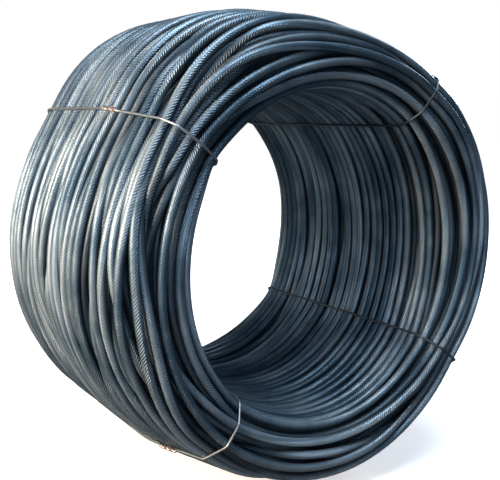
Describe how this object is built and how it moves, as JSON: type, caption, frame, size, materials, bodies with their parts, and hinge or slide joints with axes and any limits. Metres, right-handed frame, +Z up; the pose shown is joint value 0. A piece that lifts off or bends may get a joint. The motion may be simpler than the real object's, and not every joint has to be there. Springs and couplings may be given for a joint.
{
  "type": "coil of wire rod",
  "caption": "Coil of ribbed steel wire rod lying on its side, with an open bore, rounded ends and tie wires twisted together round its section.",
  "frame": {"origin": "on the floor, under the middle of the coil", "axes": "+Y along the bore, from the front end to the back end; +Z up; +X to the right seen from the front end"},
  "size_m": [0.94, 0.6426, 0.9398],
  "materials": {
    "rod_steel": "hot-rolled ribbed steel, blue-grey mill scale, satin",
    "tie_wire_steel": "drawn low-carbon wire, bright, slightly rusty at the twists"
  },
  "bodies": {
    "root": {"wire_rod_coil": "rod_steel", "tie_wire_upper_right": "tie_wire_steel", "tie_wire_upper_left": "tie_wire_steel", "tie_wire_lower_left": "tie_wire_steel", "tie_wire_lower_right": "tie_wire_steel"}
  },
  "joints": []
}
